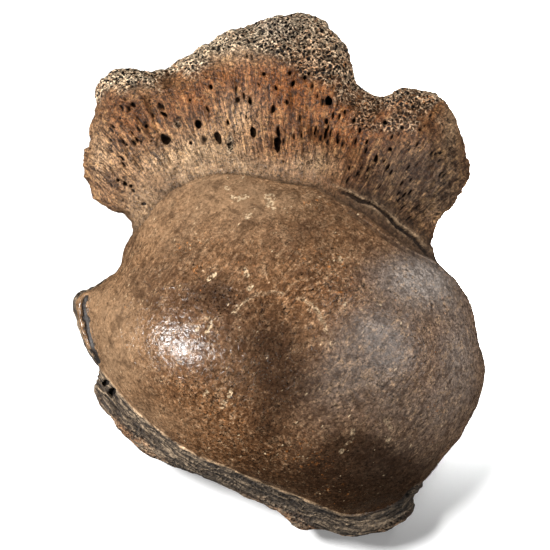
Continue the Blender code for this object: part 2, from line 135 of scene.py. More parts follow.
def fine_copy(node):
    """A copy of the packed bone with an even net and no facets."""
    skin = bpy.data.objects.new("fossil_bone_skin", node.data.copy())
    skin.matrix_world = node.matrix_world
    bpy.context.scene.collection.objects.link(skin)
    net = skin.modifiers.new("even_net", "REMESH")
    net.mode = "VOXEL"
    net.voxel_size = NET * MM
    ease = skin.modifiers.new("no_facets", "SMOOTH")
    ease.factor = 0.5
    ease.iterations = round(2 * (SMOOTHING_REACH / NET) ** 2)
    made_real(skin)
    skin.data.materials.clear()
    return skin


bone = fine_copy(bone_node)
count = len(bone.data.vertices)
flat = np.empty(count * 3)
bone.data.vertices.foreach_get("co", flat)
start = flat.reshape(-1, 3).copy()
bone.data.vertex_normals.foreach_get("vector", flat)
normals = face_on_directions(flat.reshape(-1, 3).copy())
places = face_on(start)
seen = apparent(places)
print("the skin has", count, "points")

# %% [markdown]
# ## Lines and edges read off the picture
#
# The bone has a few lines that everything else hangs on: the edge of the joint surface, the edge of the
# spongy crest, the lip beside the ball on the right, the crack in the left flange, and a few faint pale
# lines on the ball. They could be painted as masks by hand. Here each is a short list of pixels of the
# picture with a smooth curve through them, because the distance of every point of the skin to a curve
# gives masks, grooves and rims by arithmetic.

# %% Curves and distances
JOINT_EDGE = [
    (137, 229), (153, 208), (164, 196), (176, 188), (213, 174), (259, 177), (282, 182), (312, 187),
    (333, 197), (352, 207), (367, 215), (382, 227), (398, 239), (413, 250), (433, 259), (451, 276),
    (480, 290), (515, 330), (505, 400), (460, 460), (430, 478), (412, 488), (396, 503), (372, 513),
    (345, 515), (320, 506), (298, 497), (257, 481), (228, 468), (187, 450), (140, 415), (116, 389),
    (104, 374), (92, 360), (80, 340), (66, 305), (70, 288), (104, 256),
]
CREST_EDGE = [
    (60, 96), (97, 98), (110, 92), (136, 86), (164, 81), (198, 72), (213, 56), (236, 49), (259, 50),
    (277, 55), (295, 64), (315, 80), (333, 82), (353, 91), (375, 104), (400, 112), (425, 112),
    (446, 100), (500, 90), (500, -30), (60, -30),
]
NECK_LIP = [
    (318, 184), (346, 193), (361, 201), (373, 204), (387, 215), (398, 226), (413, 236), (433, 255),
    (448, 272),
]
STRIP_CRACK = [(350, 212), (366, 223), (384, 236), (402, 248), (420, 257), (438, 266)]
FLANGE_CRACK = [(85, 299), (83, 306), (86, 320), (88, 334), (92, 348), (98, 362)]
PALE_LINES = [
    [
        (231, 317), (240, 304), (251, 297), (262, 294), (274, 293), (290, 295),
        (303, 300), (317, 311), (332, 345),
    ],
    [(341, 452), (347, 445), (350, 442), (352, 436), (353, 430)],
    [(385, 420), (389, 424), (391, 432), (388, 440)], [(196, 330), (202, 322), (208, 318)],
]


def drawn(pixels, closed=False, spacing=3.0):
    """A smooth curve through pixels of the picture, as apparent millimetres with even spacing."""
    given = np.array([seen_at(*pixel) for pixel in pixels])
    if closed:
        given = np.vstack([given[-1:], given, given[:2]])
    else:
        given = np.vstack([2 * given[0] - given[1], given, 2 * given[-1] - given[-2]])
    a, b, c, d = given[:-3], given[1:-2], given[2:-1], given[3:]
    t = np.linspace(0, 1, 12, endpoint=False)[:, None, None]
    fine = 0.5 * (2 * b + (c - a) * t + (2 * a - 5 * b + 4 * c - d) * t**2 + (3 * b - a - 3 * c + d) * t**3)
    fine = np.vstack([fine.transpose(1, 0, 2).reshape(-1, 2), given[-2:-1]])
    along = np.concatenate([[0], np.cumsum(np.linalg.norm(np.diff(fine, axis=0), axis=1))])
    wanted = np.linspace(0, along[-1], max(2, round(along[-1] / spacing)) + 1)
    return np.column_stack([np.interp(wanted, along, fine[:, axis]) for axis in (0, 1)])


def distance_to(curve, points, reach=1000.0):
    """How far each point is from the nearest place on a curve, told apart only up to a reach."""
    close = ((points > curve.min(axis=0) - reach) & (points < curve.max(axis=0) + reach)).all(axis=1)
    near = points[close]
    nearest = np.full(len(near), reach**2)
    for a, b in zip(curve, curve[1:]):
        run = b - a
        share = np.clip(((near - a) @ run) / (run @ run), 0, 1)
        gap = near - a - share[:, None] * run
        nearest = np.minimum(nearest, (gap**2).sum(axis=1))
    distance = np.full(len(points), reach)
    distance[close] = np.sqrt(nearest)
    return distance


def inside_by(curve, points):
    """How far inside a closed curve each point is; below zero outside."""
    inside = np.zeros(len(points), bool)
    x, y = points.T
    for (ax, ay), (bx, by) in zip(curve, curve[1:]):
        if ay != by:
            crosses = ((ay > y) != (by > y)) & (x < (bx - ax) * (y - ay) / (by - ay) + ax)
            inside ^= crosses
    return np.where(inside, 1, -1) * distance_to(curve, points)


def ramp(values, low, high):
    """From 0 at low to 1 at high, eased at both ends."""
    share = np.clip((values - low) / (high - low), 0, 1)
    return share * share * (3 - 2 * share)


into_ball = inside_by(drawn(JOINT_EDGE, closed=True), seen)
into_crest = inside_by(drawn(CREST_EDGE, closed=True), seen)
lip_gap = distance_to(drawn(NECK_LIP), seen, 10)
strip_crack_gap = distance_to(drawn(STRIP_CRACK), seen, 10)
crack_gap = distance_to(drawn(FLANGE_CRACK), seen, 10)
pale_line_gaps = [distance_to(drawn(line, spacing=2.0), seen, 10) for line in PALE_LINES]
pale_line_gap = np.min(pale_line_gaps, axis=0)
print("points inside the joint surface:", int((into_ball > 0).sum()))

# %% [markdown]
# ## Noise made by hand
#
# Bone is uneven at every size. Displace modifiers with cloud textures could make it so, but here the
# unevenness must follow rays, layers and masks, which is easier with plain arithmetic. A whole-number
# place is scrambled into a repeatable number, and a smooth blend of the eight nearest ones is noise.
# The distance to scattered points, one in each cell of a grid, is what sponge is made of.

# %% Lumps and cells
SCRAMBLE = (374761393, 668265263, 1274126177, 974634777)


def scrambled(x, y, z, seed):
    """A repeatable number from 0 to 1 for each whole-number place."""
    mixed = (x * SCRAMBLE[0] + y * SCRAMBLE[1] + z * SCRAMBLE[2] + seed * SCRAMBLE[3]) & 0xFFFFFFFF
    mixed = ((mixed ^ (mixed >> 13)) * SCRAMBLE[2]) & 0xFFFFFFFF
    return (mixed ^ (mixed >> 16)) / 0xFFFFFFFF


def lumps(points, size, seed=0, octaves=2):
    """Smooth noise from about -1 to 1 with lumps of the given size."""
    total = np.zeros(len(points))
    for octave in range(octaves):
        scaled = points / size * 2**octave
        whole = np.floor(scaled).astype(np.int64)
        part = scaled - whole
        part = part * part * (3 - 2 * part)
        layer = np.zeros(len(points))
        for corner in range(8):
            step = np.array([corner & 1, corner >> 1 & 1, corner >> 2 & 1])
            share = np.prod(np.where(step, part, 1 - part), axis=1)
            layer += share * scrambled(*(whole + step).T, seed + octave)
        total += (2 * layer - 1) / 2**octave
    return total


def cells(points, size, seed=0):
    """Distances to the nearest and the second nearest of points scattered one to a cell, in cells."""
    scaled = points / size
    whole = np.floor(scaled).astype(np.int64)
    first = np.full(len(points), 9.0)
    second = np.full(len(points), 9.0)
    for shift in np.ndindex(3, 3, 3):
        cell = whole + np.array(shift) - 1
        scattered = np.column_stack([scrambled(*cell.T, seed + axis) for axis in range(3)])
        gap = np.sqrt(((cell + scattered - scaled) ** 2).sum(axis=1))
        second = np.minimum(second, np.maximum(first, gap))
        first = np.minimum(first, gap)
    return first, second


print("noise at three places", lumps(places[:3], 10).round(2))

# %% [markdown]
# ## Which surface is which
#
# Five surfaces meet on this bone. The ball is the smooth joint surface. The neck is the fibrous bark
# round it. The crest is sponge laid bare where the bone broke. The wall is the layered, porous side
# under the ball's lower edge, and the sole is broken sponge. They could be painted as vertex groups.
# Here each gets a soft mask from 0 to 1, worked out from the curves above, the height of the ball's
# edge by bearing, and the way the surface faces, so the masks fit a skin of any fineness.

# %% Masks of the surfaces
BALL_MIDDLE = (3.0, -33.0)
EDGE_HEIGHTS = {
    0: 5, 30: 27, 60: 40, 90: 43, 120: 39, 150: 22, 175: 9, 200: 22, 230: 30, 265: 30, 300: 19, 330: 3,
}
BARE_SPONGE = [
    (388, 126, 13, 4.5), (405, 120, 9, 4), (366, 118, 5, 6), (374, 104, 6, 4), (178, 125, 1.8, 1.6),
    (230, 145, 1.4, 3.0), (345, 92, 5, 4),
]

bearing = np.degrees(np.arctan2(places[:, 1] - BALL_MIDDLE[1], places[:, 0] - BALL_MIDDLE[0])) % 360
edge_height = np.interp(bearing, list(EDGE_HEIGHTS), list(EDGE_HEIGHTS.values()), period=360)
facing = normals[:, 2]
x, y, z = places.T
above_floor = start[:, 2] / MM

ball = ramp(into_ball, -0.6, 0.8) * ramp(z - edge_height, -5, -2)
wobble = lumps(places, 9, seed=3) * 2.5
bare_patches = np.zeros(count)
for column, row, half_width, half_height in BARE_SPONGE:
    away = (seen - np.array(seen_at(column, row))) / np.array([half_width, half_height])
    bare_patches = np.maximum(bare_patches, 1.6 - np.hypot(*away.T) - 0.25 * wobble)
crest = ramp(into_crest + wobble + 1.2 * lumps(places, 3, seed=5), -2.0, 2.5) * (1 - ball)
crest = np.maximum(crest, ramp(y + wobble, 52, 62) * ramp(-facing, -0.1, 0.35))
crest = np.maximum(crest, 0.85 * ramp(bare_patches, 0.2, 1.0) * (facing > 0))
ball = np.minimum(ball, 1 - crest)
sole = ramp(-facing, 0.55, 0.8) * ramp(-above_floor, -22, -12)
below = ramp(-y - 0.45 * x + wobble * 0.4, 26, 34) * (1 - ball)
wall = below * (1 - sole)
neck = np.clip(1 - ball - crest - wall - sole, 0, 1)
for name, mask in {"ball": ball, "crest": crest, "wall": wall, "neck": neck, "sole": sole}.items():
    print(name, "covers", round(100 * float((mask > 0.5).mean()), 1), "% of the points")

# %% [markdown]
# ## Holes for blood vessels
#
# The neck is dotted with the mouths of vessels, larger than any pore, and no two alike. Scattered by
# chance they would look too even, so they are placed one by one as the picture shows them: where, half
# width, half length, lean from upright in degrees, and depth in millimetres. The twelve largest are cut
# in the packed solid already, so here they are shallow, and only get a ragged edge and a dark inside,
# which is painted shade, darker in the deeper holes.

# %% The holes
VESSEL_HOLES = [
    (264, 74, 1.1, 1.1, 0, 1.2), (290, 73, 1.1, 1.0, 0, 3.0), (293, 84, 1.0, 1.5, 10, 3.0),
    (276, 88, 1.2, 0.7, 60, 2.4), (259, 85, 0.5, 1.4, -30, 1.6), (309, 73, 0.9, 0.9, 0, 2.0),
    (305, 77, 0.9, 1.2, 0, 2.0), (211, 87, 0.9, 1.3, -20, 3.0), (238, 100, 1.1, 1.4, 10, 1.0),
    (250, 102, 1.0, 1.1, 0, 2.6), (287, 102, 0.8, 1.3, -10, 2.4), (273, 109, 1.1, 1.9, 5, 3.0),
    (190, 100, 0.9, 0.8, 0, 1.8), (150, 100, 0.7, 0.7, 0, 1.2), (133, 104, 1.7, 1.1, 40, 2.2),
    (208, 109, 0.7, 2.0, -35, 2.0), (164, 114, 0.8, 2.2, -60, 2.6), (179, 118, 1.5, 1.0, 0, 1.0),
    (198, 124, 1.4, 2.2, -15, 1.9), (178, 125, 2.0, 1.8, 0, 0.6), (228, 122, 0.8, 1.3, -15, 2.6),
    (147, 126, 0.9, 1.0, 0, 2.2), (166, 139, 1.8, 3.1, -35, 1.4), (218, 137, 1.2, 3.3, -18, 1.8),
    (253, 131, 1.2, 2.9, -12, 2.2), (278, 131, 0.8, 2.6, 0, 3.0), (278, 145, 1.3, 4.3, 0, 2.2),
    (191, 143, 1.0, 1.0, 0, 2.2), (230, 145, 1.4, 3.0, -10, 0.8), (204, 139, 1.7, 1.8, -20, 1.2),
    (127, 145, 0.7, 0.7, 0, 1.6), (142, 142, 0.8, 0.7, 0, 1.6), (151, 141, 0.7, 0.6, 0, 1.4),
    (119, 118, 0.7, 0.7, 0, 1.2), (329, 101, 2.1, 2.4, 15, 1.8), (354, 104, 1.3, 1.3, 0, 1.4),
    (354, 121, 1.0, 1.2, 0, 2.4), (316, 130, 0.6, 2.2, 10, 2.4), (326, 133, 0.8, 2.4, 5, 2.8),
    (338, 141, 0.6, 1.5, 10, 2.2), (327, 121, 0.9, 1.6, 0, 2.4), (385, 123, 1.1, 1.2, 0, 2.4),
    (376, 158, 1.0, 2.2, 20, 2.2), (390, 149, 1.0, 1.1, 0, 2.4), (402, 128, 1.1, 1.0, 0, 1.8),
    (420, 129, 1.0, 0.9, 0, 1.8), (262, 31, 1.6, 2.2, 35, 1.0), (333, 116, 0.6, 1.8, 8, 2.0),
    (117, 181, 0.9, 0.9, 0, 1.8), (124, 184, 1.1, 1.0, 0, 2.0), (130, 186, 0.9, 0.9, 0, 1.8),
    (143, 204, 1.2, 0.9, 0, 1.8), (106, 383, 1.8, 1.4, -30, 1.4), (112, 392, 1.6, 2.2, 30, 3.2),
    (208, 327, 0.5, 2.6, 38, 0.5), (360, 131, 0.8, 1.4, 10, 2.0), (345, 112, 0.7, 1.2, 0, 1.8),
    (300, 118, 0.6, 1.6, 0, 1.8), (246, 117, 0.6, 1.2, 0, 1.6), (367, 142, 0.7, 1.4, 25, 1.8),
]
MOUTH = (1.12, 0.55)

hole_depth = np.zeros(count)
hole_shade = np.zeros(count)
for column, row, half_width, half_length, lean, depth in VESSEL_HOLES:
    away = seen - np.array(seen_at(column, row))
    near = (np.abs(away) < 1.5 * (half_length + half_width)).all(axis=1) & (facing > -0.2)
    c, s = math.cos(math.radians(lean)), math.sin(math.radians(lean))
    across = away[near, 0] * c - away[near, 1] * s
    along = away[near, 0] * s + away[near, 1] * c
    ragged = 1 + 0.22 * lumps(places[near], 1.6, seed=11)
    reach = np.sqrt((across / half_width) ** 2 + (along / half_length) ** 2) * ragged
    open_share = 1 - ramp(reach, MOUTH[1], MOUTH[0])
    hole_depth[near] = np.maximum(hole_depth[near], depth * open_share)
    # Painted shade inside the hole, darker the deeper the hole.
    hole_shade[near] = np.maximum(hole_shade[near], open_share * min(1.0, 0.35 + depth / 3))
print("deepest hole", round(float(hole_depth.max()), 1), "mm in", len(VESSEL_HOLES), "holes")

# %% [markdown]
# ## Bark grain
#
# The neck's bark is fibrous. Fine ridges run out from the ball like rays, coarser on the left lobe,
# knobbly near the crest and calm near the ball. A stretched texture could draw such ridges, but on a
# round bone they would all run one way. So the noise is read in ray coordinates: across is an angle
# times a radius, and along is the distance out, squeezed.

# %% Bark relief, in millimetres along the normal
GRAIN_MIDDLE = (-0.5, -30.0)
GRAIN_RADIUS = 95.0

from_x, from_y = x - GRAIN_MIDDLE[0], y - GRAIN_MIDDLE[1]
ray_across = np.arctan2(from_x, from_y) * GRAIN_RADIUS
ray_along = np.hypot(from_x, from_y)
rays = np.column_stack([ray_across, ray_along * 0.16, z * 0.16])

grain = 0.42 * lumps(rays, 1.6, seed=21) + 0.34 * lumps(rays, 3.6, seed=25)
ridged_lobe = ramp(-x, 36, 60) * ramp(y, 5, 25)
near_crest = ramp(into_crest + 0.8 * wobble, -22, -6)
near_ball = 1 - ramp(-into_ball + 0.8 * wobble + 0.06 * x, 1, 15)
knobs = lumps(places, 2.2, seed=33)
grain = grain * (1 + 1.5 * ridged_lobe) * (1 - 0.5 * near_crest) * (1 - 0.6 * near_ball)
bark = 0.5 * lumps(places, 11, seed=31) + grain
bark += 0.34 * near_crest * knobs - 0.9 * ridged_lobe * np.abs(lumps(places, 4.2, seed=35))
dark_lobe = ramp(x, 40, 60) * ramp(y, 5, 25)
bark -= 1.7 * dark_lobe * np.abs(lumps(places + 0.8 * rays, 6.0, seed=36)) * ramp(x, 50, 72)
bark -= 0.9 * dark_lobe * np.abs(lumps(places, 2.8, seed=38)) * ramp(x, 60, 76)
print("bark relief between", round(float(bark.min()), 2), "and", round(float(bark.max()), 2), "mm")

# %% [markdown]
# ## Slits between the fibres
#
# Towards the right the bark is pierced by short dark slits between its fibres, too many to place one by
# one. They could be cut with a cloud of small cutters, which is slow. Cells stretched along the rays
# give the same: the middle of a cell sinks in, and a broad noise decides where there are any.

# %% Slits
slit_place = np.column_stack([ray_across, ray_along * 0.36, z * 0.36])
slit_middle, _ = cells(slit_place, 2.5, seed=37)
pitted = 0.6 * ramp(x, 0, 22) + 0.3 * ridged_lobe - 0.15
slits = (1 - ramp(slit_middle, 0.14, 0.34)) * ramp(lumps(places, 9, seed=39) + pitted, 0.0, 0.35)
slits *= neck * ramp(-into_ball, 4, 10)
print("slit points:", int((slits > 0.5).sum()))

# %% [markdown]
# ## Sponge and layers
#
# Where the bone broke, its sponge shows: thin walls round small pores. Cutting every pore with a
# Boolean would be slow and break easily, so cells whose middles sink in stand for it, which looks the
# same from outside. The wall under the ball is a stack of thin layers that follow the ball's lower
# edge, so they are waves in the distance to that edge, made uneven by noise and broken by pores.

# %% Sponge and layers
LAYER_HEIGHT = 1.8

middle, border = cells(places + 0.2 * np.column_stack([wobble, -wobble, wobble]), 2.2, seed=41)
sponge_wall = 1 - ramp(border - middle, 0.06, 0.34)
sponge_pits = (1 - sponge_wall) * ramp(lumps(places, 5, seed=45), -0.9, 0.2)
sponge = 0.35 - 1.5 * sponge_pits + 0.7 * lumps(places, 4.5, seed=47) + 0.3 * lumps(places, 1.8, seed=49)

uneven_layers = 0.35 * wobble + 0.5 * lumps(places, 5, seed=53)
layer_place = (-into_ball + uneven_layers) / LAYER_HEIGHT
thin_layers = np.sin(2 * math.pi * layer_place)
thick_layers = np.sin(2 * math.pi * layer_place / 3.1)
wall_pits = sponge_pits * ramp(-into_ball + wobble, 5, 10)
even_layers = (1 - 0.7 * ramp(-into_ball + wobble, 3, 9)) * ramp(lumps(places, 7, seed=55), -0.7, 0.2)
layers = 0.2 + 0.3 * thin_layers * even_layers + 0.3 * thick_layers - 1.1 * wall_pits
layers += 0.35 * lumps(places, 4, seed=51)
print("pores in the crest:", int(((sponge_pits > 0.5) & (crest > 0.5)).sum()), "points")

# %% [markdown]
# ## The whole relief
#
# Old wax and long handling leave faint ripples on the ball, which break its highlight into glints. They
# could be left to the finish, but real ripples also bend the shading round them. Each surface's relief
# counts by its own mask, so at the seams one relief fades into the next.

# %% The sum
wax_ripples = lumps(places, 2.3, seed=65, octaves=1)
smooth_ball = 0.10 * lumps(places, 13, seed=61) + 0.12 * wax_ripples
rough_sole = 0.3 - 1.0 * sponge_pits + 0.5 * lumps(places, 4, seed=71)

move = smooth_ball * ball + bark * neck + sponge * crest + layers * wall + rough_sole * sole - 1.5 * slits
print("the skin moves between", round(float(move.min()), 2), "and", round(float(move.max()), 2), "mm")

# %% [markdown]
# ## Grooves and rims along the lines
#
# The ball meets the neck in a shallow groove, a thin rim stands beside it on the right, and the left
# flange is cracked. Each could be a curve with a bevel, cut or joined to the bone. A bell-shaped curve of
# the distance to a line does it on the skin itself, with soft ends, and can't leave a gap.

# %% Grooves and rims
neck_side = ramp(y, -4, 8)
lower_left = ramp(-y - 0.2 * x, 0, 12) * ramp(-x, -42, -25) * ramp(x, -82, -76)

groove = 0.45 * np.exp(-(((into_ball + 0.9) / 0.9) ** 2)) * neck_side
strip = ramp(-into_ball, 0.2, 1.4) * (1 - ramp(lip_gap, 4.6, 5.6)) * ramp(x, 22, 40) * ramp(y, -2, 10)
lip_crack = np.exp(-((lip_gap / 0.55) ** 2)) * ramp(x, 18, 32) * ramp(facing, 0.1, 0.35)
lip_rim = np.exp(-(((lip_gap - 1.2) / 0.7) ** 2)) * ramp(x, 18, 32) * ramp(-into_ball, 2.5, 4.5)
lip_rim *= facing > 0
strip_crack = np.exp(-((strip_crack_gap / 0.5) ** 2)) * ramp(facing, 0.1, 0.35)
crust_rim = np.exp(-(((into_ball - 0.2) / 0.35) ** 2)) * lower_left
under_crust = np.exp(-(((into_ball + 1.1) / 0.7) ** 2)) * lower_left
flange_pores = 0.6 + 1.1 * lumps(places, 2.2, seed=81)
crack = np.exp(-((crack_gap / (1.35 * np.maximum(flange_pores, 0.2))) ** 4)) * (facing > -0.3)

move -= groove + 0.8 * strip + 1.2 * lip_crack + 0.5 * strip_crack + 0.6 * under_crust + 0.9 * crack
move += 0.5 * lip_rim + 0.15 * crust_rim
print("crack points", int((crack > 0.5).sum()), "lip points", int((lip_crack > 0.5).sum()))

# %% [markdown]
# ## Scratches and patches on the ball
#
# The joint surface is polished, so what the eye finds there is mostly colour: dark and pale clouds, rusty
# and grey ones, crumbs of fresh rust, a few faint pale lines and a few scratches. The silver clouds are a
# painted sheen of the right-hand lights, and the dark clouds along the lower edge are partly painted shade.
# A painted image would show them too, but only as finely as its pixels. Here strokes and soft ovals are
# placed as the picture shows them, and the finish's own noise breaks them up later.

# %% Places of the strokes and clouds
SCRATCHES = [
    [(232, 197), (236, 199)], [(237, 200), (241, 197)], [(242, 198), (247, 196)],
    [(226, 187), (228, 188)], [(266, 197), (270, 199), (272, 203), (274, 208)],
    [(273, 198), (268, 205)], [(266, 196), (272, 196)], [(229, 396), (231, 391)],
    [(222, 407), (225, 402)], [(207, 332), (211, 323)], [(205, 396), (207, 392)],
    [(245, 270), (247, 275)], [(209, 279), (215, 274)], [(247, 217), (250, 214)],
    [(340, 258), (341, 261)], [(249, 289), (251, 286)],
]
CLOUDS = {
    # Along the ball's lower edge these dark clouds are partly painted shade, darker towards the bottom.
    "dark": [
        (282, 368, 16, 18, 0.8), (262, 338, 15, 12, 0.6), (213, 294, 13, 8, 0.75),
        (354, 462, 15, 11, 1.9), (272, 422, 10, 13, 0.35), (250, 452, 14, 8, 0.35),
        (396, 505, 26, 9, 0.9), (330, 492, 40, 11, 0.65), (292, 392, 12, 11, 0.45),
        (265, 430, 10, 8, 0.45), (400, 470, 26, 10, 0.75), (405, 103, 12, 5, 0.6),
        (190, 262, 14, 8, 0.30), (345, 440, 12, 10, 0.3), (250, 395, 22, 12, 0.2),
        (290, 470, 30, 9, 0.5), (228, 370, 16, 14, 0.25), (150, 300, 10, 8, 0.25),
        (235, 300, 20, 10, 0.4), (430, 160, 18, 12, 0.7), (400, 190, 22, 12, 0.55),
        (375, 155, 12, 10, 0.45), (108, 195, 12, 10, 0.35), (130, 108, 16, 6, 0.35),
        (272, 60, 14, 6, 0.3), (410, 105, 14, 5, 0.35),
    ],
    "pale": [
        (215, 195, 34, 12, 1.0), (270, 200, 24, 8, 0.55), (120, 320, 13, 22, 0.9),
        (110, 360, 10, 16, 0.7), (150, 415, 18, 8, 0.5), (160, 240, 16, 14, 0.5),
        (232, 235, 26, 8, 0.35), (245, 275, 24, 8, 0.25), (180, 420, 20, 10, 0.35),
        (205, 455, 16, 5, 0.35), (208, 152, 20, 10, 0.85), (172, 162, 16, 7, 0.7),
        (240, 112, 10, 10, 0.6), (142, 208, 8, 12, 0.6), (98, 150, 6, 18, 0.5), (90, 318, 9, 20, 0.9),
        (112, 160, 12, 12, 0.4), (440, 205, 12, 12, 0.4), (255, 168, 26, 4, 0.5),
        (452, 130, 4, 18, 0.7), (222, 48, 24, 7, 0.9), (320, 45, 10, 8, 0.5), (316, 162, 11, 7, 0.7),
        (125, 375, 14, 14, 0.5), (130, 84, 14, 5, 0.4),
    ],
    "rusty": [
        (232, 415, 18, 12, 0.9), (225, 450, 24, 8, 0.9), (190, 400, 14, 10, 0.5),
        (300, 300, 22, 10, 0.5), (180, 385, 12, 10, 0.35), (260, 285, 22, 12, 0.35),
        (255, 455, 14, 10, 0.5), (340, 285, 18, 10, 0.35), (436, 330, 14, 12, 0.3),
        (430, 380, 10, 10, 0.25), (262, 90, 16, 12, 1.0), (235, 72, 14, 8, 0.9),
        (322, 158, 16, 8, 1.0), (285, 160, 18, 8, 0.7), (250, 140, 10, 6, 0.4), (300, 80, 10, 14, 0.8),
        (125, 125, 16, 12, 0.7), (340, 130, 14, 18, 0.7), (112, 175, 12, 12, 0.5),
        (345, 185, 12, 5, 0.6), (385, 122, 22, 9, 0.8), (140, 165, 14, 9, 0.6), (322, 58, 13, 15, 0.5),
        (410, 103, 14, 5, 0.7), (215, 108, 12, 6, 0.5), (470, 320, 6, 14, 0.3), (190, 95, 14, 8, 0.5),
        (350, 60, 4, 16, 0.5),
    ],
    "grey": [
        (415, 280, 20, 14, 1.0), (385, 345, 20, 16, 0.9), (440, 300, 14, 16, 0.6),
        (360, 400, 34, 22, 0.55), (430, 420, 22, 18, 0.6), (355, 330, 12, 20, 0.5),
        (400, 470, 24, 12, 0.6), (330, 380, 14, 14, 0.4), (460, 360, 12, 20, 0.35),
        (430, 160, 18, 14, 0.6), (410, 180, 20, 12, 0.5), (445, 200, 14, 14, 0.3),
        (278, 28, 14, 8, 0.9), (400, 185, 20, 14, 0.6),
    ],
    # Painted sheen: pale grey spots where the right-hand lights' reflection lies on the ball.
    "silver": [
        (412, 276, 15, 8, 1.0), (430, 290, 10, 8, 0.6), (374, 330, 7, 6, 0.35), (395, 360, 10, 8, 0.2),
        (462, 345, 10, 24, 0.6), (440, 400, 10, 14, 0.2),
    ],
    "crumbs": [
        (332, 262, 10, 6, 0.9), (308, 262, 6, 4, 0.5), (345, 288, 8, 5, 0.7), (246, 268, 4, 4, 0.6),
        (192, 245, 8, 4, 1.0), (200, 271, 6, 3, 0.8), (316, 204, 5, 3, 1.2), (440, 300, 6, 4, 0.5),
        (438, 408, 5, 3, 0.8), (300, 455, 14, 8, 0.5), (222, 410, 8, 6, 0.4), (330, 490, 10, 3, 0.5),
    ],
}

print("clouds:", {name: len(spots) for name, spots in CLOUDS.items()})

# %% Strokes and clouds on the skin
def cloud(spots):
    """The summed strength of soft ovals: pixel, half width and half height in millimetres, strength."""
    total = np.zeros(count)
    for column, row, half_width, half_height, strength in spots:
        away = (seen - np.array(seen_at(column, row))) / np.array([half_width, half_height])
        total += strength * np.exp(-(away**2).sum(axis=1))
    return np.clip(total, 0, 1.2) * (facing > -0.2)


clouds = {name: cloud(spots) for name, spots in CLOUDS.items()}
scratch = np.zeros(count)
for stroke in SCRATCHES:
    gap = distance_to(drawn(stroke, spacing=1.0), seen, 3)
    scratch = np.maximum(scratch, 1 - ramp(gap + 0.25 * lumps(places, 1.1, seed=91), -0.05, 0.36))
scratch *= ball * (facing > 0)
arc = np.exp(-((pale_line_gap / 0.4) ** 2)) * ramp(lumps(places, 3, seed=93), -0.5, 0.3)
arc *= ball * (facing > 0)
move -= 0.12 * scratch + 0.05 * arc
print("scratched points", int((scratch > 0.5).sum()))

# %% [markdown]
# ## The skin takes its shape
#
# Each point moves by its own amount along its normal. The holes go partly along the normal and partly
# straight away from the viewer, because that is how the picture looks into them, and a Displace
# modifier can't do both at once. The feet stay on the floor. At the end no point lies outside the
# packed box: the bone's size belongs to the solid, and a finish has no right to change it.

# %% Move the points
shift = normals * move[:, None]
shift -= (0.45 * normals + np.array([0, 0, 0.55])) * hole_depth[:, None]
finished = start + own_frame(shift) * MM
finished[:, 2] = np.maximum(finished[:, 2], 0)
finished = np.clip(finished, np.array(cad_box[0]), np.array(cad_box[1]))
bone.data.vertices.foreach_set("co", finished.ravel())
bone.data.update()
bone.data.shade_smooth()
print("the skin's faces:", len(bone.data.polygons))

# %% Store the masks
# Holes, cracks, the slot under the lip and the slits, which the finish paints dark as shade.
sunk = np.clip(hole_shade + 0.95 * crack + 0.7 * lip_crack + 0.5 * strip_crack + 0.85 * slits, 0, 1)
stored = {
    "ball": ball,
    "crest": crest,
    "wall": wall,
    "sole": sole,
    "sunk": sunk,
    # Partly painted shade: the groove round the ball is darkened along with the strip's own brown.
    "strip": np.clip(strip + 1.6 * groove, 0, 1),
    "pale_rim": np.clip(0.8 * lip_rim + crust_rim, 0, 1),
    "scratch": scratch,
    "arc": arc,
    "sponge_pits": sponge_pits,
    "layer": 0.5 + 0.5 * thin_layers * even_layers,
    "near_crest": near_crest,
    "near_ball": near_ball,
    "outer_wall": ramp(-into_ball + wobble, 6, 12),
    **clouds,
}
for name, values in stored.items():
    bone.data.attributes.new(name, "FLOAT", "POINT").data.foreach_set("value", values.astype(np.float32))
edge_along = np.radians(bearing) * GRAIN_RADIUS
directions = {"rays": (ray_across, ray_along, z), "edge_lines": (edge_along, into_ball + uneven_layers, z)}
for name, columns in directions.items():
    store = bone.data.attributes.new(name, "FLOAT_VECTOR", "POINT")
    store.data.foreach_set("vector", np.column_stack(columns).astype(np.float32).ravel())
print("stored", ", ".join([*stored, *directions]))

# %% [markdown]
# ## Shader maths as sums
#
# A finish is a sum of many small effects, and a tree of Math nodes linked by hand is hard to read. One
# class wraps a socket, so that 1 - mask or a * 0.3 + b builds the nodes by itself. The other makes any
# node in one call, with its settings first and its sockets after them.

# %% A socket that works in sums
class Wire:
    """An output socket that works in sums."""

    def __init__(self, finish, socket):
        self.finish = finish
        self.socket = socket

    def maths(self, operation, *values, clamped=False):
        settings = {"operation": operation, "use_clamp": clamped}
        return self.finish.add("ShaderNodeMath", settings, dict(enumerate(values)))[0]

    def __add__(self, other):
        return self.maths("ADD", self, other)

    def __sub__(self, other):
        return self.maths("SUBTRACT", self, other)

    def __rsub__(self, other):
        return self.maths("SUBTRACT", other, self)

    def __mul__(self, other):
        return self.maths("MULTIPLY", self, other)

    __radd__ = __add__
    __rmul__ = __mul__

    def held(self):
        """Kept between 0 and 1."""
        return self.maths("ADD", self, 0.0, clamped=True)

    def near(self, value, width):
        """From 1 at a value to 0 at a width from it. In a noise this draws thin, winding lines."""
        away = self - value
        return self.maths("SUBTRACT", 1.0, away.maths("ABSOLUTE", away) * (1 / width), clamped=True)

    def between(self, low, high):
        """From 0 at low to 1 at high, eased."""
        settings = {"interpolation_type": "SMOOTHSTEP"}
        values = {"Value": self, "From Min": low, "From Max": high}
        return self.finish.add("ShaderNodeMapRange", settings, values)[0]


print("a wire can be", [name for name in vars(Wire) if not name.startswith("_")])

